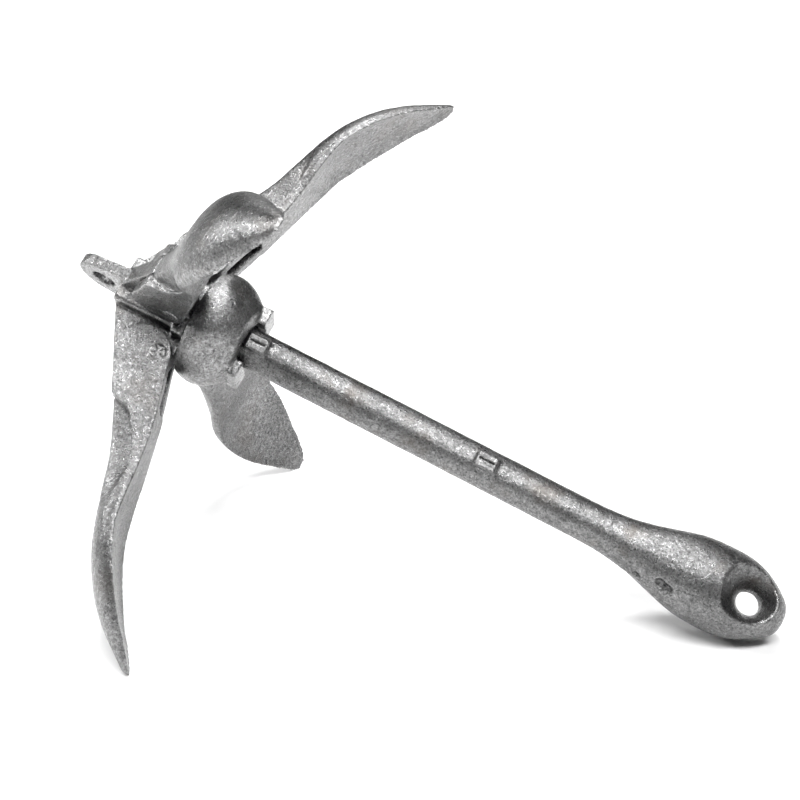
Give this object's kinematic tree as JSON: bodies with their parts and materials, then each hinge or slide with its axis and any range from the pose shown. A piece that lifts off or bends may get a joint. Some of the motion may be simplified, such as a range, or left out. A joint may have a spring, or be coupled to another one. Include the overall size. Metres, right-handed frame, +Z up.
{
  "type": "folding grapnel anchor",
  "caption": "Folding grapnel anchor: a round bar with a dished line eye, a crown with a trip-line eye, hinged spoon-shaped flukes and a sliding collar that locks them open.",
  "frame": {"origin": "bottom centre of the bounding box, on the ground that the two lower fluke tips and the line eye rest on", "axes": "+X from the crown towards the line eye (level, the shank slopes down along it), +Z up; the flukes stand at 45 degrees either side of the XZ plane"},
  "size_m": [0.2978, 0.2004, 0.1894],
  "materials": {
    "shank_zinc": "hot-dip galvanised, grainy casting",
    "crown_zinc": "hot-dip galvanised, grainy casting",
    "collar_zinc": "hot-dip galvanised, grainy casting",
    "fluke_zinc": "hot-dip galvanised, grainy casting",
    "rivet_zinc": "peened and galvanised"
  },
  "bodies": {
    "shank": {"shank": "shank_zinc", "crown": "crown_zinc", "crown_rivet": "rivet_zinc"},
    "collar": {"collar": "collar_zinc"},
    "fluke_upper_left": {"fluke_upper_left": "fluke_zinc", "rivet_upper_left": "rivet_zinc"},
    "fluke_upper_right": {"fluke_upper_right": "fluke_zinc", "rivet_upper_right": "rivet_zinc"},
    "fluke_lower_right": {"fluke_lower_right": "fluke_zinc", "rivet_lower_right": "rivet_zinc"},
    "fluke_lower_left": {"fluke_lower_left": "fluke_zinc", "rivet_lower_left": "rivet_zinc"}
  },
  "joints": [
    {"name": "collar_slide", "type": "slide", "parent": "shank", "child": "collar", "axis": [0.9262, 0, -0.3771], "range_m": [0, 0.15]},
    {"name": "fold_upper_left", "type": "hinge", "parent": "shank", "child": "fluke_upper_left", "pos_m": [-0.09598, 0.01661, 0.12603], "axis": [-0.2666, 0.7071, -0.6549], "range_deg": [0, 70]},
    {"name": "fold_upper_right", "type": "hinge", "parent": "shank", "child": "fluke_upper_right", "pos_m": [-0.09598, -0.0145, 0.12603], "axis": [0.2666, 0.7071, 0.6549], "range_deg": [0, 70]},
    {"name": "fold_lower_right", "type": "hinge", "parent": "shank", "child": "fluke_lower_right", "pos_m": [-0.10771, -0.0145, 0.09721], "axis": [0.2666, -0.7071, 0.6549], "range_deg": [0, 70]},
    {"name": "fold_lower_left", "type": "hinge", "parent": "shank", "child": "fluke_lower_left", "pos_m": [-0.10771, 0.01661, 0.09721], "axis": [-0.2666, -0.7071, -0.6549], "range_deg": [0, 70]}
  ],
  "couplings": [
    {"joint": "fold_upper_left", "follows": "collar_slide", "rad_per_m": 8.144},
    {"joint": "fold_upper_right", "follows": "collar_slide", "rad_per_m": 8.144},
    {"joint": "fold_lower_right", "follows": "collar_slide", "rad_per_m": 8.144},
    {"joint": "fold_lower_left", "follows": "collar_slide", "rad_per_m": 8.144}
  ]
}
